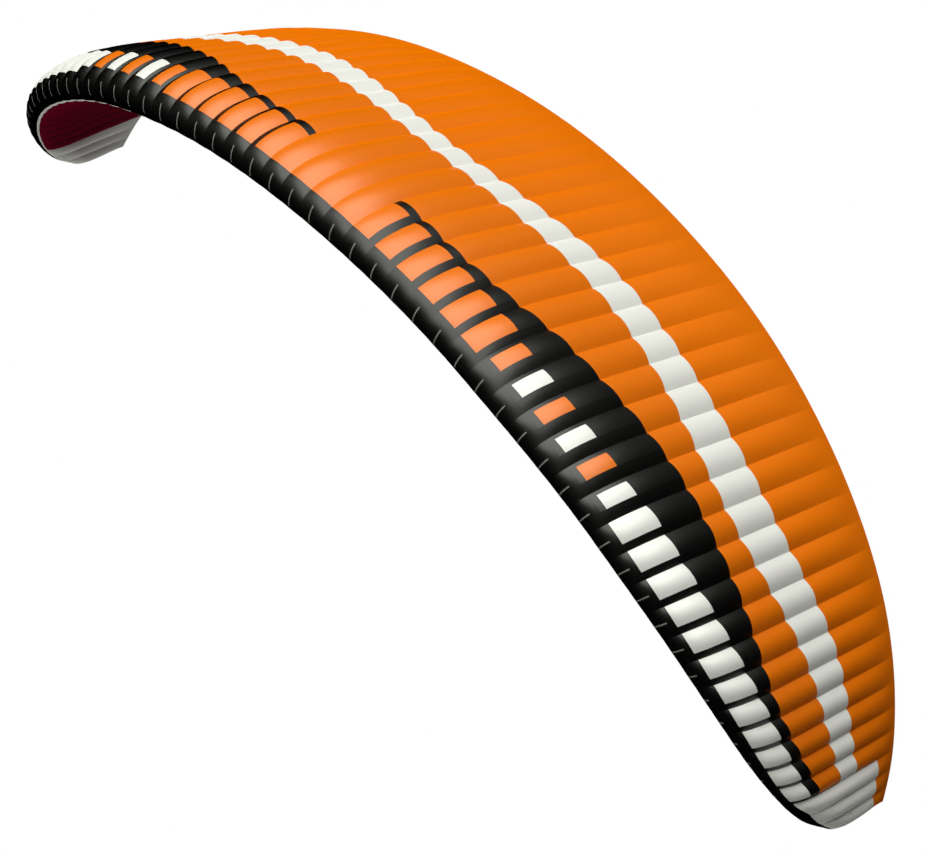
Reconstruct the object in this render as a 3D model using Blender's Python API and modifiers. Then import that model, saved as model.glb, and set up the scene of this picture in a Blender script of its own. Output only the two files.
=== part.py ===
"""An inflated paraglider wing: nose skin, top skin and bottom skin, cut at ribs into sections.

A rib closes the outer end of each tip. The ribs inside the wing don't show, and are left out.

X runs along the span, +Y towards the trailing edge and +Z up. The origin is on the bottom skin of the
middle rib, at the centre of the pull of the lines. Metres throughout.
"""

import math

import bmesh
import bpy
import numpy as np

# Planform and arch.
ROOT_CHORD = 2.66
HALF_SPAN = 2.194 * ROOT_CHORD  # along the cloth, middle rib to tip
LINE_CENTRE = 0.30  # share of the root chord where the lines pull
STATIONS = np.array(
    [
        # share of half span, then shares of the root chord: chord, trailing edge's lead on the root's,
        # then the tilt of the span in degrees
        (0.00, 1.000, 0.000, 0.0),
        (0.30, 0.961, 0.016, 14.8),
        (0.55, 0.848, 0.051, 30.9),
        (0.72, 0.714, 0.086, 43.8),
        (0.84, 0.572, 0.122, 57.1),
        (0.92, 0.437, 0.151, 66.1),
        (0.97, 0.320, 0.171, 74.6),
        (1.00, 0.207, 0.183, 77.7),
    ]
)
TIP_TWIST = math.radians(3.4)  # nose down at the tip, about the trailing edge
TIP_BENT_CELLS = 2  # the tip's end seam is bent over this many cells
TIP_BULGE = 0.041  # how far the end seam bulges outward, a third of the way back
TIP_CUT = 0.015  # how far it is cut inward at the trailing edge

# Aerofoil: each side's depth is the square root of the chord share, times what is left of the chord,
# times a cubic Bernstein sum with these weights.
TOP_WEIGHTS = (0.316, 0.209, 0.072, 0.252)
BOTTOM_WEIGHTS = (0.286, 0.071, 0.103, 0.074)
THIN_TO_TIP = 0.035  # share of its thickness that the section loses towards the tip
TIP_CLOSURE = ((0, 27, 28, 29), (1.0, 1.0, 0.8, 0.25))  # rib, share of the thickness
EDGE_HALF = 0.0018  # half the gap between the skins' outer faces at the trailing edge

# Cells.
CELLS_A_SIDE = 29
CELL_NARROWING = 0.477  # share of the middle cell's width that the tip cell has lost
NARROWING_POWER = 3
CROWN = np.array(
    [
        # place round the section, from -1 at the trailing edge below, through 0 at the nose, to 1 on
        # top, where the square is the chord share; then the cell's bulge as a share of its width
        (-1.00, 0.000),
        (-0.90, 0.030),
        (-0.60, 0.050),
        (-0.30, 0.040),
        (-0.10, 0.005),
        (0.00, 0.005),
        (0.10, 0.030),
        (0.20, 0.075),
        (0.35, 0.125),
        (0.50, 0.145),
        (0.60, 0.140),
        (0.75, 0.115),
        (0.87, 0.080),
        (0.95, 0.045),
        (1.00, 0.000),
    ]
)

# Cloth and seams.
CLOTH = 0.0015
RIB_GAP = 0.0005  # between two sections that meet at a rib
SEAM_GAP = 0.0013  # between two skins that meet across the chord, at their outer faces
TIP_SEAM_GAP = 0.0024  # the same in the tip sections, where the skins meet at sharper angles
LIP = 0.030  # chord share of the nose skin's lower seam
BROW = 0.030  # chord share of the nose skin's upper seam

# Chord shares of the facets' edges in each skin, from its front to its back.
TOP_ROWS = (BROW, 0.10, 0.24, 0.45, 0.72, 1.0)
BOTTOM_ROWS = (LIP, 0.07, 0.20, 0.45, 0.75, 1.0)
NOSE_TOP_ROWS = (0.004, 0.014, BROW)
NOSE_BOTTOM_ROWS = (LIP, 0.017, 0.005)

# The rib that closes each tip, as pairs of chord shares on the bottom and the top skin. They lie on the
# skins' own rows, apart from the first pair, which lies on the nose's.
END_RIB_ROWS = ((0.017, 0.014), (0.030, 0.030), (0.07, 0.10), (0.20, 0.24), (0.45, 0.45), (0.75, 0.72))
END_RIB_GAP = 0.0018  # between the end rib and the inside of each skin

# Sections: the ribs that bound them, on each side of the middle one. The last is the tip.
SECTION_RIBS = (0, 5, 10, 15, 20, 26, 29)

COLOURS = {
    # name: red, green, blue (linear), roughness
    "black_cloth": (0.010, 0.010, 0.010, 0.45),
    "orange_cloth": (0.79, 0.17, 0.010, 0.55),
    "white_cloth": (0.78, 0.80, 0.74, 0.55),
    "maroon_cloth": (0.075, 0.002, 0.008, 0.60),
}


def smooth_through(stations, values, at, start_slope=0.0):
    """Values at the given places, on a curve through the stations that never overshoots them."""
    width = np.diff(stations)
    slope = np.diff(values) / width
    tangent = np.zeros(len(stations))
    tangent[0] = start_slope
    tangent[-1] = slope[-1]
    for i in range(1, len(stations) - 1):
        if slope[i - 1] * slope[i] > 0:
            before = 2 * width[i] + width[i - 1]
            after = width[i] + 2 * width[i - 1]
            tangent[i] = (before + after) / (before / slope[i - 1] + after / slope[i])
    i = np.clip(np.searchsorted(stations, at, side="right") - 1, 0, len(width) - 1)
    t = (at - stations[i]) / width[i]
    start = values[i] * (1 + 2 * t) + tangent[i] * width[i] * t
    end = values[i + 1] * (3 - 2 * t) - tangent[i + 1] * width[i] * (1 - t)
    return start * (1 - t) ** 2 + end * t**2


class Arch:
    """The trailing edge's line, and the chord on it, along the half span."""

    STEPS = 600

    def __init__(self):
        place, chord, lead, tilt = STATIONS.T
        tilt = np.radians(tilt)
        self.share = np.linspace(0, 1, self.STEPS + 1)
        self.chord = ROOT_CHORD * smooth_through(place, chord, self.share)
        self.lead = ROOT_CHORD * smooth_through(place, lead, self.share)
        self.tilt = smooth_through(place, tilt, self.share, tilt[1] / place[1])
        middle = (self.tilt[1:] + self.tilt[:-1]) / 2
        step = HALF_SPAN / self.STEPS
        self.across = np.concatenate([[0], np.cumsum(np.cos(middle) * step)])
        self.down = np.concatenate([[0], np.cumsum(np.sin(middle) * step)])

    def at(self, share):
        """Chord, lead, tilt, and the distance across and down, at a share of the half span."""
        lines = (self.chord, self.lead, self.tilt, self.across, self.down)
        return [float(np.interp(share, self.share, line)) for line in lines]


ARCH = Arch()
EVEN_SHARE = 1 - CELL_NARROWING / (NARROWING_POWER + 1)  # half span if all cells were the middle one


def span_share(rib):
    """Share of the half span at a rib's number, which may lie between two ribs."""
    even = rib / CELLS_A_SIDE
    lost = CELL_NARROWING * even ** (NARROWING_POWER + 1) / (NARROWING_POWER + 1)
    return (even - lost) / EVEN_SHARE


def cell_width(rib):
    narrowed = 1 - CELL_NARROWING * (rib / CELLS_A_SIDE) ** NARROWING_POWER
    return HALF_SPAN / CELLS_A_SIDE * narrowed / EVEN_SHARE


def aerofoil(chord_share, weights, thickness):
    """Depth of one side of the aerofoil as a share of the chord, and its outward normal.

    The normal is (backward, away from the chord line), of length 1.
    """
    s = chord_share
    left = 1 - s
    terms = (left**3, 3 * s * left**2, 3 * s**2 * left, s**3)
    slopes = (-3 * left**2, 3 * left**2 - 6 * s * left, 6 * s * left - 3 * s**2, 3 * s**2)
    shape = sum(w * term for w, term in zip(weights, terms))
    change = sum(w * slope for w, slope in zip(weights, slopes))
    depth = math.sqrt(s) * left * shape * thickness
    run = 2 * math.sqrt(s)
    rise = (left * shape - 2 * s * shape + 2 * s * left * change) * thickness
    length = math.hypot(run, rise)
    return depth, -rise / length, run / length


def skin_point(rib, chord_share, side):
    """Point of the wing's outer surface, with side 1 on top and -1 below."""
    share = span_share(rib)
    chord, lead, tilt, across, down = ARCH.at(share)
    thickness = (1 - THIN_TO_TIP * share**2) * float(np.interp(rib, *TIP_CLOSURE))
    weights = TOP_WEIGHTS if side > 0 else BOTTOM_WEIGHTS
    depth, back, away = aerofoil(chord_share, weights, thickness)
    crown = smooth_through(CROWN[:, 0], CROWN[:, 1], side * math.sqrt(chord_share))
    bulge = crown * cell_width(rib) * abs(math.sin(math.pi * rib))
    ahead = (1 - chord_share) * chord - bulge * back
    height = side * (depth * chord + bulge * away + EDGE_HALF * chord_share)
    twist = TIP_TWIST * share**2
    y = -lead - ahead * math.cos(twist) - height * math.sin(twist)
    rise = height * math.cos(twist) - ahead * math.sin(twist)
    bent = max(0.0, 1 - (CELLS_A_SIDE - rib) / TIP_BENT_CELLS) ** 2
    out = 6.75 * TIP_BULGE * chord_share * (1 - chord_share) ** 2 - TIP_CUT * chord_share
    across += bent * out * math.cos(tilt)
    down += bent * out * math.sin(tilt)
    return np.array([across + math.sin(tilt) * rise, y, math.cos(tilt) * rise - down])


ORIGIN = skin_point(0, LINE_CENTRE, -1)

# Each skin's rows as (chord share, side), in the order that keeps the outside on one hand.
NOSE_LINE = [(s, -1) for s in NOSE_BOTTOM_ROWS] + [(0.0, 1)] + [(s, 1) for s in NOSE_TOP_ROWS]
TOP_LINE = [(s, 1) for s in TOP_ROWS]
BOTTOM_LINE = [(s, -1) for s in reversed(BOTTOM_ROWS)]


def pull_in(edge, inner, gap):
    """Moves an edge's points along the surface, towards the next line of points, by half of a gap."""
    away = inner - edge
    edge += away / np.linalg.norm(away, axis=-1, keepdims=True) * gap / 2


def skin_grid(line, first_rib, last_rib):
    """Points of a skin's outer face, two columns a cell, with gaps left at its ribs and seams."""
    ribs = np.arange(2 * first_rib, 2 * last_rib + 1) / 2
    grid = np.array([[skin_point(rib, s, side) - ORIGIN for s, side in line] for rib in ribs])
    pull_in(grid[0], grid[1], RIB_GAP)
    if last_rib < CELLS_A_SIDE:
        pull_in(grid[-1], grid[-2], RIB_GAP)
    seam_gap = TIP_SEAM_GAP if last_rib == CELLS_A_SIDE else SEAM_GAP
    for end, inner in ((0, 1), (-1, -2)):
        at_trailing_edge = line[end][0] == 1
        if not at_trailing_edge:
            pull_in(grid[:, end], grid[:, inner], seam_gap)
    return grid


def end_rib_grid():
    """Points of the end rib's outer face, from the bottom skin to the top skin at each of its rows."""
    grid = []
    for low, high in END_RIB_ROWS:
        below = skin_point(CELLS_A_SIDE, low, -1) - ORIGIN
        above = skin_point(CELLS_A_SIDE, high, 1) - ORIGIN
        upward = (above - below) / np.linalg.norm(above - below)
        inset = upward * (CLOTH + END_RIB_GAP)
        grid.append([below + inset, above - inset])
    return np.array(grid)


def cloth_material(name):
    red, green, blue, roughness = COLOURS[name]
    material = bpy.data.materials.new(name)
    material.use_nodes = True
    shader = material.node_tree.nodes["Principled BSDF"]
    shader.inputs["Base Color"].default_value = (red, green, blue, 1)
    shader.inputs["Roughness"].default_value = roughness
    shader.inputs["Metallic"].default_value = 0
    return material


def sew_skin(name, grid, hand, material, collection):
    """A sheet of cloth on the grid's points, on the right half for hand 1 and the left for -1."""
    mesh = bmesh.new()
    columns = [[mesh.verts.new((hand * x, y, z)) for x, y, z in column] for column in grid]
    for near, far in zip(columns, columns[1:]):
        for i in range(len(near) - 1):
            corners = (near[i], far[i], far[i + 1], near[i + 1])
            mesh.faces.new(corners[::hand])
    data = bpy.data.meshes.new(name)
    mesh.to_mesh(data)
    mesh.free()
    data.materials.append(material)
    skin = bpy.data.objects.new(name, data)
    collection.objects.link(skin)
    wall = skin.modifiers.new("cloth", "SOLIDIFY")
    wall.thickness = CLOTH
    wall.offset = -1


def main():
    for thing in list(bpy.data.objects):
        bpy.data.objects.remove(thing, do_unlink=True)
    wing = bpy.data.collections.new("paraglider_wing")
    bpy.context.scene.collection.children.link(wing)
    cloth = {name: cloth_material(name) for name in COLOURS}
    skins = (
        # name, rows, cloth, cloth of its tip section
        ("nose", NOSE_LINE, "black_cloth", "black_cloth"),
        ("top", TOP_LINE, "orange_cloth", "white_cloth"),
        ("bottom", BOTTOM_LINE, "maroon_cloth", "maroon_cloth"),
    )
    for skin, line, plain, at_tip in skins:
        for number, ribs in enumerate(zip(SECTION_RIBS, SECTION_RIBS[1:]), start=1):
            is_tip = ribs[1] == CELLS_A_SIDE
            place = "tip" if is_tip else number
            colour = cloth[at_tip if is_tip else plain]
            grid = skin_grid(line, *ribs)
            sew_skin(f"{skin}_right_{place}", grid, 1, colour, wing)
            sew_skin(f"{skin}_left_{place}", grid, -1, colour, wing)
    sew_skin("end_rib_right", end_rib_grid(), 1, cloth["white_cloth"], wing)
    sew_skin("end_rib_left", end_rib_grid(), -1, cloth["white_cloth"], wing)


main()
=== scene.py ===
# A paraglider wing in flight: black nose skin, orange and white top skin, maroon bottom skin.
# X runs along the span, +Y towards the trailing edge and +Z up. Everything is in metres.
import math

import bpy
import numpy as np
from mathutils import Matrix, Vector


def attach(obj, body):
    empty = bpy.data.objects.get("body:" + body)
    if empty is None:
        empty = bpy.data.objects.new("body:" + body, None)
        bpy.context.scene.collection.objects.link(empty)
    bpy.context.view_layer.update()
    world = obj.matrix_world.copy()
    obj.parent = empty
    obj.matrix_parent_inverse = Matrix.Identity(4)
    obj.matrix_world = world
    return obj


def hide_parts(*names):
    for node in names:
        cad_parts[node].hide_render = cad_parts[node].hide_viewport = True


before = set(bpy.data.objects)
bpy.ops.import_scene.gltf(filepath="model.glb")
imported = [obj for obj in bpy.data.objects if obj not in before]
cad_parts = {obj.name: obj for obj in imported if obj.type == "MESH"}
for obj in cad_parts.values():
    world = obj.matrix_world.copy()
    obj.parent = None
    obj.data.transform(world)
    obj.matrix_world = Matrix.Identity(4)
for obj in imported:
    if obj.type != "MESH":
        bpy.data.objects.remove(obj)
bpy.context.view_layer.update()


# ---- Nose skin ----
# The black coated nylon that wraps the leading edge, one panel a cell. Each panel is sewn to the ribs
# on both sides of it and to the skins behind it, and air pressure crowns it between the ribs. The
# wing's form is worked out here, since the nose is the first skin that the maker pulls over the ribs.
ROOT_CHORD = 2.66
HALF_SPAN = 2.194 * ROOT_CHORD  # along the cloth, middle rib to tip
LINE_CENTRE = 0.30  # share of the root chord where the lines pull
STATIONS = np.array(
    [
        # share of half span, chord, trailing edge's lead on the root's (both shares of the root
        # chord), tilt of the span in degrees
        (0.00, 1.000, 0.000, 0.0),
        (0.30, 0.961, 0.016, 14.8),
        (0.55, 0.848, 0.051, 30.9),
        (0.72, 0.714, 0.086, 43.8),
        (0.84, 0.572, 0.122, 57.1),
        (0.92, 0.437, 0.151, 66.1),
        (0.97, 0.320, 0.171, 74.6),
        (1.00, 0.207, 0.183, 77.7),
    ]
)
ARCH_STEPS = 600
TIP_TWIST = math.radians(3.4)  # nose down at the tip
TIP_BENT_CELLS = 2  # the tip's end seam is bent over this many cells
TIP_BULGE = 0.041  # how far the end seam bulges outward, a third of the way back
TIP_CUT = 0.015  # how far it is cut inward at the trailing edge
BULGE_PEAK = 27 / 4  # makes the bulge's curve 1 at its highest, a third of the way back
TOP_WEIGHTS = (0.316, 0.209, 0.072, 0.252)  # the aerofoil's depth on top, from the nose to the rear
BOTTOM_WEIGHTS = (0.286, 0.071, 0.103, 0.074)
THIN_TO_TIP = 0.035  # share of its thickness that the section loses towards the tip
TIP_CLOSURE = ((0, 27, 28, 29), (1.0, 1.0, 0.8, 0.10))  # rib, share of the thickness
CELLS_A_SIDE = 29
CELL_NARROWING = 0.477  # share of the middle cell's width that the tip cell has lost
NARROWING_POWER = 3
EVEN_SHARE = 1 - CELL_NARROWING / (NARROWING_POWER + 1)
CROWN = np.array(
    [
        # wrap, bulge of a cell between its ribs as a share of the middle cell's width
        (-1.00, 0.000),
        (-0.90, 0.042),
        (-0.60, 0.072),
        (-0.30, 0.052),
        (-0.10, 0.005),
        (0.00, 0.006),
        (0.10, 0.045),
        (0.20, 0.110),
        (0.28, 0.140),
        (0.36, 0.148),
        (0.45, 0.138),
        (0.55, 0.124),
        (0.70, 0.122),
        (0.80, 0.113),
        (0.87, 0.088),
        (0.95, 0.046),
        (0.975, 0.018),
        (1.00, 0.000),
    ]
)
FULLNESS = ((0, 12, 18, 24, 26, 29), (0.92, 0.95, 1.08, 1.18, 1.30, 1.50))  # rib, the bulge there
FLAT_FRONT_RIB = 26  # from here to the tip, the cells' fronts are tight
FLAT_FRONT = 0.30  # chord share by which they are full again
CLOTH = 0.0012
COLUMNS = 8  # facets across a cell
LATTICE = np.arange(-63, 64) / 64  # rows of facets round a section
ROW_MARGIN = 0.25  # the least share of a row's depth that a seam's own row may have


def smooth_through(stations, values, at, start_slope=0.0):
    """Values at the given places, on a curve through the stations that never overshoots them."""
    width = np.diff(stations)
    slope = np.diff(values) / width
    tangent = np.zeros(len(stations))
    tangent[0] = start_slope
    tangent[-1] = slope[-1]
    for i in range(1, len(stations) - 1):
        if slope[i - 1] * slope[i] > 0:
            before = 2 * width[i] + width[i - 1]
            after = width[i] + 2 * width[i - 1]
            tangent[i] = (before + after) / (before / slope[i - 1] + after / slope[i])
    i = np.clip(np.searchsorted(stations, at, side="right") - 1, 0, len(width) - 1)
    t = (at - stations[i]) / width[i]
    start = values[i] * (1 + 2 * t) + tangent[i] * width[i] * t
    end = values[i + 1] * (3 - 2 * t) - tangent[i + 1] * width[i] * (1 - t)
    return start * (1 - t) ** 2 + end * t**2


def arch():
    """Shares of the half span, and there the chord, the lead, the tilt, and how far across and down."""
    place, chord, lead, tilt = STATIONS.T
    tilt = np.radians(tilt)
    share = np.linspace(0, 1, ARCH_STEPS + 1)
    chord = ROOT_CHORD * smooth_through(place, chord, share)
    lead = ROOT_CHORD * smooth_through(place, lead, share)
    tilts = smooth_through(place, tilt, share, tilt[1] / place[1])
    middle = (tilts[1:] + tilts[:-1]) / 2
    step = HALF_SPAN / ARCH_STEPS
    across = np.concatenate([[0], np.cumsum(np.cos(middle) * step)])
    down = np.concatenate([[0], np.cumsum(np.sin(middle) * step)])
    return share, (chord, lead, tilts, across, down)


ARCH_SHARES, ARCH_LINES = arch()


def cell_width(rib):
    narrowed = 1 - CELL_NARROWING * (rib / CELLS_A_SIDE) ** NARROWING_POWER
    return HALF_SPAN / CELLS_A_SIDE * narrowed / EVEN_SHARE


def wing_form(rib, wrap):
    """Points of the tight, uninflated skin, the outward direction there, and the bulge's height.

    Wrap runs round a section, from -1 at the trailing edge below, through 0 at the nose, to 1 at the
    trailing edge on top. Its square is the share of the chord.
    """
    even = rib / CELLS_A_SIDE
    lost = CELL_NARROWING * even ** (NARROWING_POWER + 1) / (NARROWING_POWER + 1)
    share = (even - lost) / EVEN_SHARE
    chord, lead, tilt, across, down = (np.interp(share, ARCH_SHARES, line) for line in ARCH_LINES)
    thickness = (1 - THIN_TO_TIP * share**2) * np.interp(rib, *TIP_CLOSURE)
    on_top = wrap >= 0
    side = np.where(on_top, 1.0, -1.0)
    w = [np.where(on_top, top, bottom) for top, bottom in zip(TOP_WEIGHTS, BOTTOM_WEIGHTS)]
    s = wrap**2
    left = 1 - s
    shape = w[0] * left**3 + 3 * w[1] * s * left**2 + 3 * w[2] * s**2 * left + w[3] * s**3
    change = 3 * (w[1] - w[0]) * left**2 + 6 * (w[2] - w[1]) * s * left + 3 * (w[3] - w[2]) * s**2
    run = 2 * np.abs(wrap)
    rise = (left * shape - 2 * s * shape + 2 * s * left * change) * thickness
    length = np.hypot(run, rise)
    back, away = -rise / length, run / length
    ahead = left * chord
    height = side * (np.abs(wrap) * left * shape * thickness * chord + CLOTH * s)
    twist = TIP_TWIST * share**2
    sin_twist, cos_twist = np.sin(twist), np.cos(twist)
    lift = height * cos_twist - ahead * sin_twist
    y = -lead - ahead * cos_twist - height * sin_twist
    bent = np.maximum(0, 1 - (CELLS_A_SIDE - rib) / TIP_BENT_CELLS) ** 2
    out = bent * (BULGE_PEAK * TIP_BULGE * s * left**2 - TIP_CUT * s)
    across = across + out * np.cos(tilt)
    down = down + out * np.sin(tilt)
    points = np.stack([across + np.sin(tilt) * lift, y, np.cos(tilt) * lift - down], axis=-1)
    out_lift = side * away * cos_twist + back * sin_twist
    out_back = back * cos_twist - side * away * sin_twist
    outward = np.stack([np.sin(tilt) * out_lift, out_back, np.cos(tilt) * out_lift], axis=-1)
    bulge = cell_width(0) * np.interp(rib, *FULLNESS) * smooth_through(CROWN[:, 0], CROWN[:, 1], wrap)
    bulge = bulge * (1 - np.clip(rib - FLAT_FRONT_RIB, 0, 1) * np.clip(1 - s / FLAT_FRONT, 0, 1))
    return points, outward, bulge


ORIGIN = wing_form(np.array(0.0), np.array(-math.sqrt(LINE_CENTRE)))[0]


def seam_line(stops, side=1):
    """The place of a cross seam as wrap, from its chord shares at some ribs."""
    ribs = np.array(list(stops), float)
    shares = np.array(list(stops.values()), float)
    return lambda rib: side * np.sqrt(smooth_through(ribs, shares, rib))


def panel(cell, low, high, first=0.0, last=1.0, columns=COLUMNS):
    """A panel's grid of points in one cell, between two cross seams, with what the cloth needs to know.

    First and last are the shares of the cell's width that it covers.
    """
    across = np.linspace(first, last, max(1, round((last - first) * columns)) + 1)
    rib = cell + across
    start, end = low(rib), high(rib)
    margin = ROW_MARGIN * (LATTICE[1] - LATTICE[0])
    between = LATTICE[(LATTICE > start.max() + margin) & (LATTICE < end.min() - margin)]
    wrap = np.stack([start, *[np.full_like(rib, row) for row in between], end], axis=1)
    points, outward, bulge = wing_form(rib[:, None], wrap)
    steps = np.linalg.norm(np.diff(points, axis=1), axis=2)
    along = np.concatenate([np.zeros((len(rib), 1)), np.cumsum(steps, axis=1)], axis=1)
    width = cell_width(cell + 0.5)
    share = np.broadcast_to(across[:, None], wrap.shape)
    return {
        "points": points - ORIGIN,
        "across": share,
        "bulge": bulge,
        "outward": outward,
        "from_rib": np.minimum(share, 1 - share) * width,
        "cloth": np.stack([share * width, along], axis=-1),
    }


def sew(name, panels):
    """One piece from panels on the right half and their mirror images on the left half."""
    corners, faces, count = [], [], 0
    fields = {key: [] for key in ("across", "bulge", "outward", "from_rib", "cloth")}
    for hand in (1, -1):
        for grid in panels:
            columns, rows = grid["across"].shape
            number = count + np.arange(columns * rows).reshape(columns, rows)
            quads = [number[:-1, :-1], number[1:, :-1], number[1:, 1:], number[:-1, 1:]]
            faces.append(np.stack(quads, axis=-1).reshape(-1, 4)[:, ::hand])
            mirror = np.array([hand, 1, 1])
            corners.append((grid["points"] * mirror).reshape(-1, 3))
            for key, values in fields.items():
                field = grid[key] * mirror if key == "outward" else grid[key]
                values.append(field.reshape(columns * rows, -1))
            count += columns * rows
    mesh = bpy.data.meshes.new(name)
    mesh.from_pydata(np.concatenate(corners).tolist(), [], np.concatenate(faces).tolist())
    for key in ("across", "bulge", "from_rib"):
        attribute = mesh.attributes.new(key, "FLOAT", "POINT")
        attribute.data.foreach_set("value", np.concatenate(fields[key]).ravel())
    attribute = mesh.attributes.new("outward", "FLOAT_VECTOR", "POINT")
    attribute.data.foreach_set("vector", np.concatenate(fields["outward"]).ravel())
    loops = np.empty(len(mesh.loops), np.int32)
    mesh.loops.foreach_get("vertex_index", loops)
    flat = mesh.uv_layers.new(name="cloth")
    flat.data.foreach_set("uv", np.concatenate(fields["cloth"])[loops].ravel())
    piece = bpy.data.objects.new(name, mesh)
    bpy.context.scene.collection.objects.link(piece)
    return piece


def wire(tree, *links):
    for source, target in links:
        tree.links.new(source, target)


def inflation():
    """Geometry nodes: pushes each point outward by the crown's curve between the two ribs of its cell."""
    tree = bpy.data.node_groups.new("inflate cells", "GeometryNodeTree")
    tree.is_modifier = True
    for label, way, kind in (
        ("Geometry", "INPUT", "NodeSocketGeometry"),
        ("Fullness", "INPUT", "NodeSocketFloat"),
        ("Cloth", "INPUT", "NodeSocketMaterial"),
        ("Geometry", "OUTPUT", "NodeSocketGeometry"),
    ):
        tree.interface.new_socket(label, in_out=way, socket_type=kind)
    given, made = tree.nodes.new("NodeGroupInput"), tree.nodes.new("NodeGroupOutput")
    field = {}
    for name, kind in (("across", "FLOAT"), ("bulge", "FLOAT"), ("outward", "FLOAT_VECTOR")):
        node = tree.nodes.new("GeometryNodeInputNamedAttribute")
        node.data_type = kind
        node.inputs["Name"].default_value = name
        field[name] = node.outputs["Attribute"]
    other_side, curve, height, reach = (tree.nodes.new("ShaderNodeMath") for _ in range(4))
    other_side.operation = "SUBTRACT"
    other_side.inputs[0].default_value = 1
    curve.operation = height.operation = reach.operation = "MULTIPLY"
    times_four = tree.nodes.new("ShaderNodeMath")
    times_four.operation = "MULTIPLY"
    times_four.inputs[1].default_value = 4
    push = tree.nodes.new("ShaderNodeVectorMath")
    push.operation = "SCALE"
    move = tree.nodes.new("GeometryNodeSetPosition")
    real = tree.nodes.new("GeometryNodeRealizeInstances")
    finish = tree.nodes.new("GeometryNodeSetMaterial")
    wire(
        tree,
        (field["across"], other_side.inputs[1]),
        (field["across"], curve.inputs[0]),
        (other_side.outputs[0], curve.inputs[1]),
        (curve.outputs[0], times_four.inputs[0]),
        (times_four.outputs[0], height.inputs[0]),
        (given.outputs["Fullness"], height.inputs[1]),
        (height.outputs[0], reach.inputs[0]),
        (field["bulge"], reach.inputs[1]),
        (field["outward"], push.inputs[0]),
        (reach.outputs[0], push.inputs["Scale"]),
        (given.outputs["Geometry"], move.inputs["Geometry"]),
        (push.outputs["Vector"], move.inputs["Offset"]),
        (move.outputs["Geometry"], real.inputs["Geometry"]),
        (real.outputs["Geometry"], finish.inputs["Geometry"]),
        (given.outputs["Cloth"], finish.inputs["Material"]),
        (finish.outputs["Geometry"], made.inputs["Geometry"]),
    )
    return tree


INFLATION = inflation()


def add_tree(piece, tree, **values):
    """Puts a geometry nodes tree on a piece, with its inputs set by name."""
    modifier = piece.modifiers.new(tree.name, "NODES")
    modifier.node_group = tree
    for item in tree.interface.items_tree:
        if item.item_type == "SOCKET" and item.in_out == "INPUT" and item.name in values:
            modifier[item.identifier] = values[item.name]


def settle(piece, sharp=40):
    """Turns a piece's modifiers into a plain mesh with smooth faces and sharp cut edges."""
    bpy.context.view_layer.update()
    graph = bpy.context.evaluated_depsgraph_get()
    mesh = bpy.data.meshes.new_from_object(piece.evaluated_get(graph))
    piece.modifiers.clear()
    piece.data = mesh
    mesh.name = piece.name
    mesh.shade_smooth()
    mesh.set_sharp_from_angle(angle=math.radians(sharp))
    for name in ("across", "bulge", "outward"):
        if name in mesh.attributes:
            mesh.attributes.remove(mesh.attributes[name])


def inflate(piece, material, thickness=CLOTH, offset=-1):
    """Blows the cells up, gives the cloth its thickness, and settles the piece."""
    add_tree(piece, INFLATION, Fullness=1.0, Cloth=material)
    wall = piece.modifiers.new("cloth", "SOLIDIFY")
    wall.thickness = thickness
    wall.offset = offset
    settle(piece)


def shader_group(name, inputs, outputs):
    tree = bpy.data.node_groups.new(name, "ShaderNodeTree")
    for label, kind, value in inputs:
        socket = tree.interface.new_socket(label, in_out="INPUT", socket_type=kind)
        socket.default_value = value
    for label, kind in outputs:
        tree.interface.new_socket(label, in_out="OUTPUT", socket_type=kind)
    return tree, tree.nodes.new("NodeGroupInput"), tree.nodes.new("NodeGroupOutput")


def maths(tree, operation, *values):
    """A Math node. Each value is a number or the socket that feeds it."""
    node = tree.nodes.new("ShaderNodeMath")
    node.operation = operation
    for socket, value in zip(node.inputs, values):
        if isinstance(value, (int, float)):
            socket.default_value = value
        else:
            tree.links.new(value, socket)
    return node.outputs[0]


def ripstop():
    """The reinforcing threads of ripstop cloth: a square grid of raised double threads."""
    tree, given, made = shader_group(
        "ripstop",
        [("Pitch", "NodeSocketFloat", 0.0055), ("Thread", "NodeSocketFloat", 0.16)],
        [("Threads", "NodeSocketFloat")],
    )
    flat = tree.nodes.new("ShaderNodeUVMap")
    flat.uv_map = "cloth"
    split = tree.nodes.new("ShaderNodeSeparateXYZ")
    wire(tree, (flat.outputs["UV"], split.inputs[0]))
    ways = []
    for axis in ("X", "Y"):
        turns = maths(tree, "DIVIDE", split.outputs[axis], given.outputs["Pitch"])
        from_middle = maths(tree, "ABSOLUTE", maths(tree, "SUBTRACT", maths(tree, "FRACT", turns), 0.5))
        half_thread = maths(tree, "MULTIPLY", given.outputs["Thread"], 0.5)
        ways.append(maths(tree, "LESS_THAN", from_middle, half_thread))
    wire(tree, (maths(tree, "MAXIMUM", *ways), made.inputs["Threads"]))
    return tree


GATHER_REACH = 0.045  # how far the gathers run from a rib seam
GATHER_SCALE, SOFT_SCALE, TONE_SCALE = 38, 14, 1.3  # about how many to a metre


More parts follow.
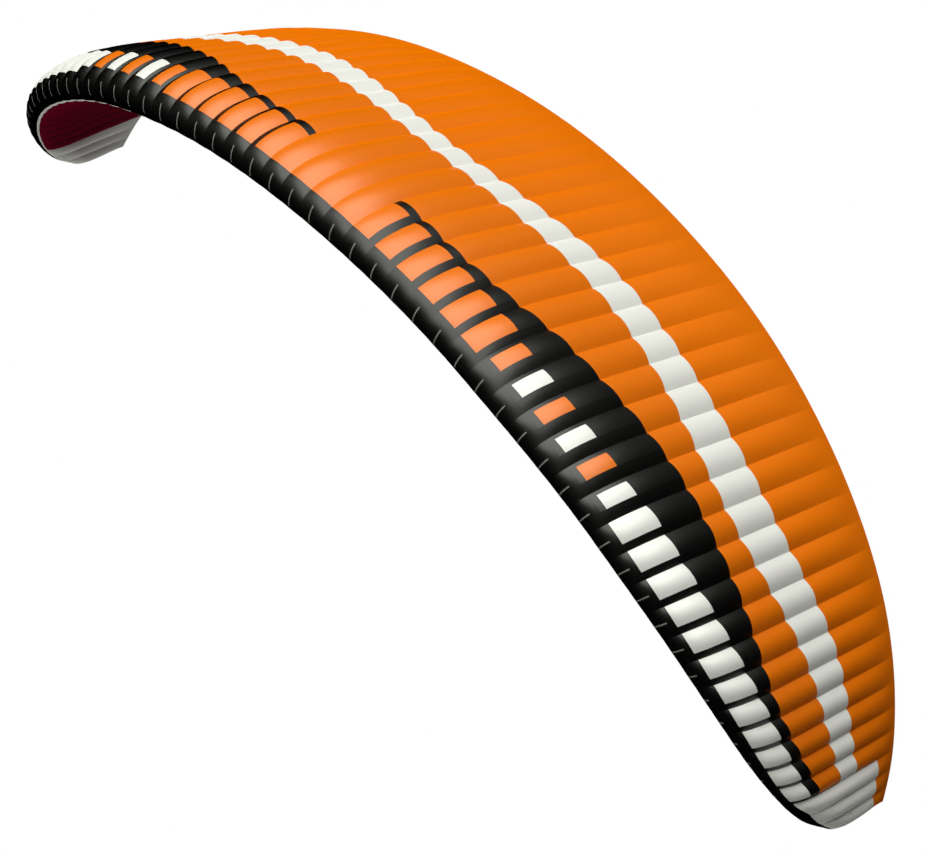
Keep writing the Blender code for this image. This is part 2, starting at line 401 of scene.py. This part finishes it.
def puckers():
    """Relief in metres: small gathers along the rib seams, and soft unevenness over the whole panel."""
    tree, given, made = shader_group(
        "puckers",
        [("Gather", "NodeSocketFloat", 0.0008), ("Softness", "NodeSocketFloat", 0.0006)],
        [("Height", "NodeSocketFloat"), ("Tone", "NodeSocketFloat")],
    )
    near = tree.nodes.new("ShaderNodeAttribute")
    near.attribute_name = "from_rib"
    fade = tree.nodes.new("ShaderNodeMapRange")
    fade.interpolation_type = "SMOOTHERSTEP"
    fade.inputs["From Min"].default_value = GATHER_REACH
    fade.inputs["From Max"].default_value = 0.0
    flat = tree.nodes.new("ShaderNodeUVMap")
    flat.uv_map = "cloth"
    split = tree.nodes.new("ShaderNodeSeparateXYZ")
    gather = tree.nodes.new("ShaderNodeTexNoise")
    gather.noise_dimensions = "1D"
    gather.inputs["Scale"].default_value = GATHER_SCALE
    gather.inputs["Detail"].default_value = 1
    place = tree.nodes.new("ShaderNodeTexCoord")
    soft, tone = tree.nodes.new("ShaderNodeTexNoise"), tree.nodes.new("ShaderNodeTexNoise")
    soft.inputs["Scale"].default_value = SOFT_SCALE
    soft.inputs["Detail"].default_value = 3
    tone.inputs["Scale"].default_value = TONE_SCALE
    tone.inputs["Detail"].default_value = 2
    wire(
        tree,
        (near.outputs["Fac"], fade.inputs["Value"]),
        (flat.outputs["UV"], split.inputs[0]),
        (split.outputs["Y"], gather.inputs["W"]),
        (place.outputs["Object"], soft.inputs["Vector"]),
        (place.outputs["Object"], tone.inputs["Vector"]),
        (tone.outputs["Fac"], made.inputs["Tone"]),
    )
    folds = maths(tree, "MULTIPLY", gather.outputs["Fac"], fade.outputs["Result"])
    folds = maths(tree, "MULTIPLY", folds, given.outputs["Gather"])
    waves = maths(tree, "MULTIPLY", soft.outputs["Fac"], given.outputs["Softness"])
    wire(tree, (maths(tree, "ADD", folds, waves), made.inputs["Height"]))
    return tree


RIPSTOP, PUCKERS = ripstop(), puckers()
THREAD_TINT, TONE_TINT = 0.35, 0.9  # how much of the second dye the threads and the uneven tone take
THREAD_ROUGHNESS = 0.04  # added where a thread lies
UNEVEN_ROUGHNESS = 0.10  # added or taken where the tone varies
THREAD_RELIEF = 0.00004  # how high a thread stands
CLOTH_RELIEF = 0.6  # strength of the whole relief
FULL_GLOSS = 0.5
FADE_FROM, FADE_TO = 0.50, 0.80  # how far the cloth is turned away as the gloss starts and ends fading


def coated_cloth(name, colour, thread_colour, roughness, gloss_index):
    """Ripstop nylon with a smooth coat: a broad soft gloss, fine threads and a slightly uneven tone.

    Seen almost edge on, the threads shade the coat between them, and the gloss fades.
    """
    material = bpy.data.materials.new(name)
    material.use_nodes = True
    tree = material.node_tree
    shader = tree.nodes["Principled BSDF"]
    shader.inputs["IOR"].default_value = gloss_index
    weave, relief = tree.nodes.new("ShaderNodeGroup"), tree.nodes.new("ShaderNodeGroup")
    weave.node_tree, relief.node_tree = RIPSTOP, PUCKERS
    dye = tree.nodes.new("ShaderNodeMix")
    dye.data_type = "RGBA"
    dye.inputs["A"].default_value = (*colour, 1)
    dye.inputs["B"].default_value = (*thread_colour, 1)
    threads = maths(tree, "MULTIPLY", weave.outputs["Threads"], THREAD_TINT)
    tone = maths(tree, "SUBTRACT", relief.outputs["Tone"], 0.5)
    amount = maths(tree, "ADD", threads, maths(tree, "MULTIPLY", tone, TONE_TINT))
    rough = maths(tree, "ADD", maths(tree, "MULTIPLY", tone, UNEVEN_ROUGHNESS), roughness)
    rough_threads = maths(tree, "MULTIPLY", weave.outputs["Threads"], THREAD_ROUGHNESS)
    rough = maths(tree, "ADD", rough, rough_threads)
    height = maths(tree, "MULTIPLY", weave.outputs["Threads"], THREAD_RELIEF)
    height = maths(tree, "ADD", height, relief.outputs["Height"])
    bump = tree.nodes.new("ShaderNodeBump")
    bump.inputs["Distance"].default_value = 1
    bump.inputs["Strength"].default_value = CLOTH_RELIEF
    edge_on, shaded = tree.nodes.new("ShaderNodeLayerWeight"), tree.nodes.new("ShaderNodeMapRange")
    fade = {"From Min": FADE_FROM, "From Max": FADE_TO, "To Min": FULL_GLOSS, "To Max": 0.0}
    for label, value in fade.items():
        shaded.inputs[label].default_value = value
    wire(
        tree,
        (edge_on.outputs["Facing"], shaded.inputs["Value"]),
        (shaded.outputs["Result"], shader.inputs["Specular IOR Level"]),
        (amount, dye.inputs["Factor"]),
        (dye.outputs["Result"], shader.inputs["Base Color"]),
        (rough, shader.inputs["Roughness"]),
        (height, bump.inputs["Height"]),
        (bump.outputs["Normal"], shader.inputs["Normal"]),
    )
    return material


def stitching():
    """Geometry nodes: sets raised stitches in a row along each line, each one standing on the cloth."""
    tree = bpy.data.node_groups.new("stitch along", "GeometryNodeTree")
    tree.is_modifier = True
    for label, way, kind in (
        ("Geometry", "INPUT", "NodeSocketGeometry"),
        ("Pitch", "INPUT", "NodeSocketFloat"),
        ("Length", "INPUT", "NodeSocketFloat"),
        ("Width", "INPUT", "NodeSocketFloat"),
        ("Height", "INPUT", "NodeSocketFloat"),
        ("Thread", "INPUT", "NodeSocketMaterial"),
        ("Geometry", "OUTPUT", "NodeSocketGeometry"),
    ):
        tree.interface.new_socket(label, in_out=way, socket_type=kind)
    given, made = tree.nodes.new("NodeGroupInput"), tree.nodes.new("NodeGroupOutput")
    line = tree.nodes.new("GeometryNodeMeshToCurve")
    evenly = tree.nodes.new("GeometryNodeResampleCurve")
    evenly.mode = "LENGTH"
    tangent = tree.nodes.new("GeometryNodeInputTangent")
    outward = tree.nodes.new("GeometryNodeInputNamedAttribute")
    outward.data_type = "FLOAT_VECTOR"
    outward.inputs["Name"].default_value = "outward"
    facing = tree.nodes.new("FunctionNodeAxesToRotation")
    facing.primary_axis, facing.secondary_axis = "Z", "X"
    grain = tree.nodes.new("GeometryNodeMeshIcoSphere")
    grain.inputs["Radius"].default_value = 0.5
    size = tree.nodes.new("ShaderNodeCombineXYZ")
    place = tree.nodes.new("GeometryNodeInstanceOnPoints")
    real = tree.nodes.new("GeometryNodeRealizeInstances")
    finish = tree.nodes.new("GeometryNodeSetMaterial")
    wire(
        tree,
        (given.outputs["Geometry"], line.inputs[0]),
        (line.outputs[0], evenly.inputs["Curve"]),
        (given.outputs["Pitch"], evenly.inputs["Length"]),
        (outward.outputs["Attribute"], facing.inputs["Primary Axis"]),
        (tangent.outputs[0], facing.inputs["Secondary Axis"]),
        (given.outputs["Length"], size.inputs["X"]),
        (given.outputs["Width"], size.inputs["Y"]),
        (given.outputs["Height"], size.inputs["Z"]),
        (evenly.outputs[0], place.inputs["Points"]),
        (grain.outputs["Mesh"], place.inputs["Instance"]),
        (facing.outputs[0], place.inputs["Rotation"]),
        (size.outputs[0], place.inputs["Scale"]),
        (place.outputs[0], real.inputs[0]),
        (real.outputs[0], finish.inputs["Geometry"]),
        (given.outputs["Thread"], finish.inputs["Material"]),
        (finish.outputs[0], made.inputs["Geometry"]),
    )
    return tree


STITCHING = stitching()
STITCH_PITCH, STITCH_LENGTH, STITCH_WIDTH, STITCH_HEIGHT = 0.010, 0.0075, 0.0013, 0.0010
STITCH_INSET = 0.004  # from the edge of the cloth that is sewn down
STITCH_LIFT = 0.2  # how far a stitch's middle stands over the cloth, as a share of its height
ROW_POINTS = 9  # in a row up a block's side
WRAP_STEP = 0.001  # a short step of wrap, to see how far it goes on the cloth
STRAND_SCALE = 900


def polyester_thread(name, colour, glint_colour):
    """Twisted polyester thread: matt, with painted highlights: fine lighter flecks set at random by noise
    stand for strands catching the light.
    """
    material = bpy.data.materials.new(name)
    material.use_nodes = True
    tree = material.node_tree
    shader = tree.nodes["Principled BSDF"]
    place = tree.nodes.new("ShaderNodeTexCoord")
    strands = tree.nodes.new("ShaderNodeTexNoise")
    strands.inputs["Scale"].default_value = STRAND_SCALE
    strands.inputs["Detail"].default_value = 1
    # Painted highlight: the thread's colour turns to the lighter glint colour in fine random flecks, where
    # strands would catch the light.
    dye = tree.nodes.new("ShaderNodeMix")
    dye.data_type = "RGBA"
    dye.inputs["A"].default_value = (*colour, 1)
    dye.inputs["B"].default_value = (*glint_colour, 1)
    bump = tree.nodes.new("ShaderNodeBump")
    bump.inputs["Distance"].default_value = 0.0001
    bump.inputs["Strength"].default_value = 0.5
    rough = maths(tree, "MULTIPLY_ADD", strands.outputs["Fac"], 0.2, 0.5)
    wire(
        tree,
        (place.outputs["Object"], strands.inputs["Vector"]),
        (strands.outputs["Fac"], dye.inputs["Factor"]),
        (dye.outputs["Result"], shader.inputs["Base Color"]),
        (rough, shader.inputs["Roughness"]),
        (strands.outputs["Fac"], bump.inputs["Height"]),
        (bump.outputs["Normal"], shader.inputs["Normal"]),
    )
    return material


def row_beside(cells, seam, inset, first=0.0, last=1.0):
    """Ribs and wraps of a stitch row beside a cross seam. A row with a minus inset lies at lower wraps."""
    steps = max(2, round((cells[-1] + last - cells[0] - first) * COLUMNS))
    rib = np.linspace(cells[0] + first, cells[-1] + last, steps + 1)
    wrap = seam(rib)
    moved = np.linalg.norm(wing_form(rib, wrap + WRAP_STEP)[0] - wing_form(rib, wrap)[0], axis=1)
    return rib, wrap + inset * WRAP_STEP / moved


def stitch(name, rows, thread):
    """One piece of all the stitches in the given rows of both halves. It rides with the cloth."""
    corners, edges, directions, count = [], [], [], 0
    for hand in (1, -1):
        for rib, wrap in rows:
            points, outward, bulge = wing_form(rib, wrap)
            across = rib - np.floor(rib)
            lift = 4 * across * (1 - across) * bulge + STITCH_HEIGHT * STITCH_LIFT
            mirror = np.array([hand, 1, 1])
            corners.append((points + outward * lift[:, None] - ORIGIN) * mirror)
            directions.append(outward * mirror)
            edges.extend((count + i, count + i + 1) for i in range(len(rib) - 1))
            count += len(rib)
    mesh = bpy.data.meshes.new(name)
    mesh.from_pydata(np.concatenate(corners).tolist(), edges, [])
    attribute = mesh.attributes.new("outward", "FLOAT_VECTOR", "POINT")
    attribute.data.foreach_set("vector", np.concatenate(directions).ravel())
    piece = bpy.data.objects.new(name, mesh)
    bpy.context.scene.collection.objects.link(piece)
    sizes = {"Pitch": STITCH_PITCH, "Length": STITCH_LENGTH, "Width": STITCH_WIDTH}
    add_tree(piece, STITCHING, Thread=thread, Height=STITCH_HEIGHT, **sizes)
    settle(piece, sharp=180)
    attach(piece, "root")
    return piece


BLACK = coated_cloth("black_coated_ripstop", (0.0004, 0.0004, 0.0004), (0.0015, 0.0015, 0.0015), 0.36, 1.71)
BLACK_THREAD = polyester_thread("black_thread", (0.004, 0.004, 0.004), (0.016, 0.016, 0.016))
SECTIONS = ("1", "2", "3", "4", "5", "tip")


def nodes_of(skin):
    return [f"{skin}_{side}_{section}" for side in ("left", "right") for section in SECTIONS]


NOSE_LIP = seam_line({0: 0.030, 29: 0.030}, side=-1)
NOSE_SEAM = seam_line({0: 0.030, 16: 0.030, 25: 0.034, 26: 0.045, 27: 0.090, 29: 0.090})
ALL_CELLS = range(CELLS_A_SIDE)

nose_panels = [panel(cell, NOSE_LIP, NOSE_SEAM) for cell in ALL_CELLS]
nose_skin = sew("nose_skin", nose_panels)
inflate(nose_skin, BLACK)
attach(nose_skin, "root")
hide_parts(*nodes_of("nose"))
nose_rows = [row_beside(ALL_CELLS, NOSE_LIP, STITCH_INSET), row_beside(ALL_CELLS, NOSE_SEAM, -STITCH_INSET)]
nose_stitches = stitch("nose_stitches", nose_rows, BLACK_THREAD)


# ---- Nose tapes ----
# Narrow pale tapes of webbing down the middle of each nose panel, sewn flat over the black cloth. They
# hold the nose's rounded shape between the ribs, and stop short of both seams of the nose.
TAPE_WIDTH = 0.010
TAPE_THICKNESS = 0.0010
TAPE_TOP = seam_line({0: 0.010, 13: 0.0105, 17: 0.015, 19: 0.014, 20: 0.002, 29: 0.002})
TAPE_BOTTOM = seam_line({0: 0.004, 29: 0.004}, side=-1)
TAPE = coated_cloth("pale_tape", (0.20, 0.20, 0.19), (0.28, 0.28, 0.26), 0.6, 1.5)

tape_panels = []
for cell in ALL_CELLS:
    half = TAPE_WIDTH / 2 / cell_width(cell + 0.5)
    tape_panels.append(panel(cell, TAPE_BOTTOM, TAPE_TOP, 0.5 - half, 0.5 + half, columns=2 / (2 * half)))
nose_tapes = sew("nose_tapes", tape_panels)
inflate(nose_tapes, TAPE, TAPE_THICKNESS, offset=1)
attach(nose_tapes, "root")


# ---- Nose band and its blocks ----
# Behind the nose seam runs a band of the same black cloth, with a coloured block let into each cell:
# orange near the middle of the wing, then small ones of both colours, then white ones to the tips.
BAND_REAR = seam_line(
    {0: 0.18, 4: 0.18, 6: 0.20, 9: 0.27, 14: 0.325, 17: 0.30, 22: 0.22, 26: 0.245, 29: 0.245}
)
BLOCK_REAR = seam_line({0: 0.155, 14: 0.155, 26: 0.165, 29: 0.165})
SMALL_FRONT = seam_line({0: 0.045, 29: 0.045})
SMALL_REAR = seam_line({0: 0.140, 29: 0.140})
BAND_CELLS = range(2, 26)
SMALL_CELLS = range(8, 14)
BLOCK_LAST = 0.75  # share of the cell's width that a full block covers
SMALL_FIRST, SMALL_LAST = 0.125, 0.625
ORANGE = coated_cloth("orange_coated_ripstop", (0.68, 0.145, 0.0004), (0.64, 0.136, 0.0004), 0.34, 1.60)
WHITE = coated_cloth("white_coated_ripstop", (0.725, 0.72, 0.715), (0.685, 0.68, 0.675), 0.34, 1.60)
ORANGE_THREAD = polyester_thread("orange_thread", (0.60, 0.12, 0.001), (0.72, 0.18, 0.01))
WHITE_THREAD = polyester_thread("white_thread", (0.66, 0.655, 0.64), (0.76, 0.755, 0.74))

band_panels, orange_blocks, white_blocks = [], [], []
orange_rows, white_rows = [], []
for cell in BAND_CELLS:
    if cell in SMALL_CELLS:
        first, last, front, rear = SMALL_FIRST, SMALL_LAST, SMALL_FRONT, SMALL_REAR
        band_panels.append(panel(cell, NOSE_SEAM, BAND_REAR, 0, first))
        band_panels.append(panel(cell, NOSE_SEAM, front, first, last))
    else:
        first, last, front, rear = 0, BLOCK_LAST, NOSE_SEAM, BLOCK_REAR
    is_orange = cell < SMALL_CELLS[0] or (cell in SMALL_CELLS and cell % 2 == 0)
    blocks = orange_blocks if is_orange else white_blocks
    blocks.append(panel(cell, front, rear, first, last))
    block_rows = orange_rows if is_orange else white_rows
    inset = STITCH_INSET / cell_width(cell + 0.5)
    low, high = first + inset, last - inset
    block_rows.append(row_beside([cell], front, STITCH_INSET, low, high))
    block_rows.append(row_beside([cell], rear, -STITCH_INSET, low, high))
    for edge in (low, high):
        front_end = row_beside([cell], front, STITCH_INSET, edge, edge)[1][0]
        rear_end = row_beside([cell], rear, -STITCH_INSET, edge, edge)[1][0]
        side_wraps = np.linspace(front_end, rear_end, ROW_POINTS)
        block_rows.append((np.full(ROW_POINTS, cell + edge), side_wraps))
    band_panels.append(panel(cell, rear, BAND_REAR, first, last))
    band_panels.append(panel(cell, NOSE_SEAM, BAND_REAR, last, 1))
band_rows = [row_beside(BAND_CELLS, BAND_REAR, -STITCH_INSET)]
for name, panels, material, finish, flat, rows, thread in (
    ("nose_band", band_panels, BLACK, "black_cloth", (10.2, 0.85), band_rows, BLACK_THREAD),
    ("orange_nose_blocks", orange_blocks, ORANGE, "orange_cloth", (3.0, 0.40), orange_rows, ORANGE_THREAD),
    ("white_nose_blocks", white_blocks, WHITE, "white_cloth", (5.0, 0.40), white_rows, WHITE_THREAD),
):
    piece = sew(name, panels)
    inflate(piece, material)
    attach(piece, "root")
    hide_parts(*nodes_of("top"))
    stitches = stitch(f"{name}_stitches", rows, thread)


# ---- Top skin ----
# Orange panels run from the black band to the trailing edge, one a cell, with a plain white band sewn
# across them from tip to tip. The last three cells of each tip are white, with an orange rear corner.
# Behind the white band the cloth is a lighter one, with less coating and so less gloss.
STRIPE_FRONT = seam_line({0: 0.44, 8: 0.50, 16: 0.42, 21: 0.46, 26: 0.44, 29: 0.44})
STRIPE_REAR = seam_line({0: 0.52, 8: 0.62, 16: 0.60, 21: 0.64, 26: 0.60, 29: 0.60})
TIP_REAR = seam_line({0: 0.82, 26: 0.82, 29: 0.76})
TRAILING_EDGE = seam_line({0: 1, 29: 1})
TIP_CELLS = range(26, 29)
AFT_ORANGE = coated_cloth("orange_softer_ripstop", (0.70, 0.149, 0.0004), (0.66, 0.14, 0.0004), 0.36, 1.46)

fore, stripe, aft, tips = [], [], [], []
for cell in ALL_CELLS:
    if cell in TIP_CELLS:
        tips.append(panel(cell, NOSE_SEAM, TIP_REAR))
        aft.append(panel(cell, TIP_REAR, TRAILING_EDGE))
    else:
        fore.append(panel(cell, BAND_REAR if cell in BAND_CELLS else NOSE_SEAM, STRIPE_FRONT))
        stripe.append(panel(cell, STRIPE_FRONT, STRIPE_REAR))
        aft.append(panel(cell, STRIPE_REAR, TRAILING_EDGE))
INNER_CELLS = range(TIP_CELLS[0])
fore_rows = [row_beside(INNER_CELLS, STRIPE_FRONT, -STITCH_INSET)]
stripe_rows = [
    row_beside(INNER_CELLS, STRIPE_FRONT, STITCH_INSET),
    row_beside(INNER_CELLS, STRIPE_REAR, -STITCH_INSET),
]
aft_rows = [
    row_beside(INNER_CELLS, STRIPE_REAR, STITCH_INSET),
    row_beside(ALL_CELLS, TRAILING_EDGE, -STITCH_INSET),
    row_beside(ALL_CELLS, TRAILING_EDGE, -3 * STITCH_INSET),
]
tip_rows = [row_beside(TIP_CELLS, NOSE_SEAM, STITCH_INSET), row_beside(TIP_CELLS, TIP_REAR, -STITCH_INSET)]
for name, panels, material, finish, flat, rows, thread in (
    ("orange_fore_panels", fore, ORANGE, "orange_cloth", (11.0, 1.10), fore_rows, ORANGE_THREAD),
    ("white_stripe", stripe, WHITE, "white_cloth", (11.0, 0.50), stripe_rows, WHITE_THREAD),
    ("orange_aft_panels", aft, AFT_ORANGE, "orange_cloth", (11.7, 1.30), aft_rows, ORANGE_THREAD),
    ("white_tips", tips, WHITE, "white_cloth", (0.9, 0.80), tip_rows, WHITE_THREAD),
):
    piece = sew(name, panels)
    inflate(piece, material)
    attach(piece, "root")
    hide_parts(*nodes_of("top"))
    stitches = stitch(f"{name}_stitches", rows, thread)


# ---- Bottom skin ----
# Maroon panels, one a cell, from the lower nose seam to the trailing edge. A pale strip runs behind the
# nose, and the last three cells of each tip are pale. A narrow rib of the same pale cloth, sewn between
# the top and bottom skins, closes the outer end of each tip.
STRIP_REAR = seam_line({0: 0.042, 29: 0.042}, side=-1)
LOWER_TRAILING_EDGE = seam_line({0: 1, 29: 1}, side=-1)
MAROON = coated_cloth("maroon_coated_ripstop", (0.13, 0.002, 0.014), (0.10, 0.0015, 0.010), 0.55, 1.5)
MAROON_THREAD = polyester_thread("maroon_thread", (0.12, 0.003, 0.014), (0.20, 0.02, 0.035))

END_RIBS = ("end_rib_left", "end_rib_right")
END_RIB_FRONT = 0.1  # the wrap from which an end rib runs to the trailing edge
END_RIB_RECESS = 0.0005  # how far it is set in from the end seam


def end_rib():
    """The grid of the rib that closes a tip, from the bottom skin to the top skin at each row."""
    wrap = LATTICE[LATTICE > END_RIB_FRONT]
    rib = CELLS_A_SIDE - END_RIB_RECESS / cell_width(CELLS_A_SIDE)
    below, above = wing_form(rib, -wrap)[0], wing_form(rib, wrap)[0]
    depth = np.linalg.norm(above - below, axis=1)
    inset = (above - below) * (CLOTH / 2 / depth)[:, None]
    points = np.stack([below + inset, above - inset], axis=1)
    along = np.concatenate([[0], np.cumsum(np.linalg.norm(np.diff(below, axis=0), axis=1))])
    below_cloth = np.stack([along, 0 * depth], axis=-1)
    above_cloth = np.stack([along, depth], axis=-1)
    tight = np.zeros(points.shape[:2])
    return {
        "points": points - ORIGIN,
        "across": tight,
        "bulge": tight,
        "outward": np.zeros(points.shape),
        "from_rib": tight,
        "cloth": np.stack([below_cloth, above_cloth], axis=1),
    }


strip, maroon, pale = [], [], [end_rib()]
for cell in ALL_CELLS:
    if cell in TIP_CELLS:
        pale.append(panel(cell, LOWER_TRAILING_EDGE, NOSE_LIP))
    else:
        strip.append(panel(cell, STRIP_REAR, NOSE_LIP))
        maroon.append(panel(cell, LOWER_TRAILING_EDGE, STRIP_REAR))
maroon_rows = [
    row_beside(INNER_CELLS, LOWER_TRAILING_EDGE, STITCH_INSET),
    row_beside(INNER_CELLS, LOWER_TRAILING_EDGE, 3 * STITCH_INSET),
]
strip_rows = [row_beside(INNER_CELLS, STRIP_REAR, STITCH_INSET)]
pale_rows = [
    row_beside(TIP_CELLS, LOWER_TRAILING_EDGE, STITCH_INSET),
    row_beside(TIP_CELLS, LOWER_TRAILING_EDGE, 3 * STITCH_INSET),
]
for name, panels, material, finish, flat, rows, thread in (
    ("bottom_skin", maroon, MAROON, "maroon_cloth", (11.0, 2.55), maroon_rows, MAROON_THREAD),
    ("pale_lower_strip", strip, WHITE, "white_cloth", (11.0, 0.05), strip_rows, WHITE_THREAD),
    ("pale_lower_tips", pale, WHITE, "white_cloth", (0.9, 1.00), pale_rows, WHITE_THREAD),
):
    piece = sew(name, panels)
    inflate(piece, material)
    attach(piece, "root")
    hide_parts(*nodes_of("bottom"), *(END_RIBS if panels is pale else ()))
    stitches = stitch(f"{name}_stitches", rows, thread)


# ---- Floor, light and camera ----
# A plain white floor far below the wing, and one broad soft light overhead, a little to the front and
# left, made by a lamp for the shading and a broader one for the gloss. Two weak lamps from below stand
# for the light that the floor gives back; they shine through it.
FLOOR_DROP = 80
FLOOR_SIZE = 2400
FLOOR_LIGHT = 0.06  # what the floor gives back, as a share of its own white
SKY_LIGHT = 0.01
KEY_STRENGTH = 4.45
KEY_DIRECTION = (-0.17, -0.28, 0.945)  # from the wing to the light
KEY_BREADTH = math.radians(74)
GLOSS_STRENGTH = 4.1  # the overhead light as shiny cloth mirrors it
GLOSS_DIRECTION = (-0.16, -0.36, 0.92)
GLOSS_BREADTH = math.radians(92)
LIGHT_COLOUR = (0.99, 1.0, 0.92)
BOUNCE_STRENGTH = (0.8, 1.15)  # from below on the left and on the right
BOUNCE_DIRECTION = (0.40, -0.20, -0.89)  # the right one's; the left one's is its mirror image
BOUNCE_BREADTH = math.radians(40)


def seen_and_lit(tree, surface, given_back):
    """White to the camera, and a share of that as light on the wing."""
    path = tree.nodes.new("ShaderNodeLightPath")
    light = maths(tree, "MULTIPLY", path.outputs["Is Diffuse Ray"], given_back)
    wire(tree, (maths(tree, "MAXIMUM", path.outputs["Is Camera Ray"], light), surface.inputs["Strength"]))


world = bpy.data.worlds.new("surround")
world.use_nodes = True
world.node_tree.nodes["Background"].inputs["Color"].default_value = (1, 1, 1, 1)
seen_and_lit(world.node_tree, world.node_tree.nodes["Background"], SKY_LIGHT)
bpy.context.scene.world = world

white_floor = bpy.data.materials.new("white_floor")
white_floor.use_nodes = True
floor_tree = white_floor.node_tree
floor_tree.nodes.remove(floor_tree.nodes["Principled BSDF"])
glow = floor_tree.nodes.new("ShaderNodeEmission")
wire(floor_tree, (glow.outputs[0], floor_tree.nodes["Material Output"].inputs["Surface"]))
seen_and_lit(floor_tree, glow, FLOOR_LIGHT)
half = FLOOR_SIZE / 2
corner_signs = ((-1, -1), (1, -1), (1, 1), (-1, 1))
floor_corners = [(x * half, y * half, -FLOOR_DROP) for x, y in corner_signs]
floor_mesh = bpy.data.meshes.new("floor")
floor_mesh.from_pydata(floor_corners, [], [(0, 1, 2, 3)])
floor_mesh.materials.append(white_floor)
floor = bpy.data.objects.new("floor", floor_mesh)
bpy.context.scene.collection.objects.link(floor)
floor.visible_shadow = False  # the bounce comes up through it

lights = (
    ("key", KEY_STRENGTH, KEY_BREADTH, KEY_DIRECTION),
    ("gloss", GLOSS_STRENGTH, GLOSS_BREADTH, GLOSS_DIRECTION),
    ("left bounce", BOUNCE_STRENGTH[0], BOUNCE_BREADTH, BOUNCE_DIRECTION * np.array([-1, 1, 1])),
    ("right bounce", BOUNCE_STRENGTH[1], BOUNCE_BREADTH, BOUNCE_DIRECTION),
)
for name, strength, breadth, direction in lights:
    light = bpy.data.lights.new(name, "SUN")
    light.energy = strength
    light.color = LIGHT_COLOUR
    light.angle = breadth
    lamp = bpy.data.objects.new(name, light)
    lamp.rotation_euler = Vector(direction).to_track_quat("Z", "Y").to_euler()
    lamp.visible_glossy = name == "gloss"
    lamp.visible_diffuse = name != "gloss"
    bpy.context.scene.collection.objects.link(lamp)

CAMERA_PLACE = (11.730, -11.903, 10.228)
CAMERA_TURN = math.radians(41.41)  # to the left of straight back
CAMERA_DIP = math.radians(35.68)
CAMERA_ROLL = math.radians(13.39)
camera_data = bpy.data.cameras.new("camera")
camera_data.lens = 106.6
camera_data.sensor_width = 36
camera_data.clip_end = 1000
camera = bpy.data.objects.new("camera", camera_data)
sin_turn, cos_turn = math.sin(CAMERA_TURN), math.cos(CAMERA_TURN)
sight = Vector((-sin_turn * math.cos(CAMERA_DIP), cos_turn * math.cos(CAMERA_DIP), -math.sin(CAMERA_DIP)))
level = Vector((cos_turn, sin_turn, 0))
upright = level.cross(sight)
right = level * math.cos(CAMERA_ROLL) + upright * math.sin(CAMERA_ROLL)
up = upright * math.cos(CAMERA_ROLL) - level * math.sin(CAMERA_ROLL)
camera.matrix_world = Matrix.Translation(CAMERA_PLACE) @ Matrix((right, up, -sight)).transposed().to_4x4()
bpy.context.scene.collection.objects.link(camera)
bpy.context.scene.camera = camera
bpy.context.scene.view_settings.view_transform = "Standard"
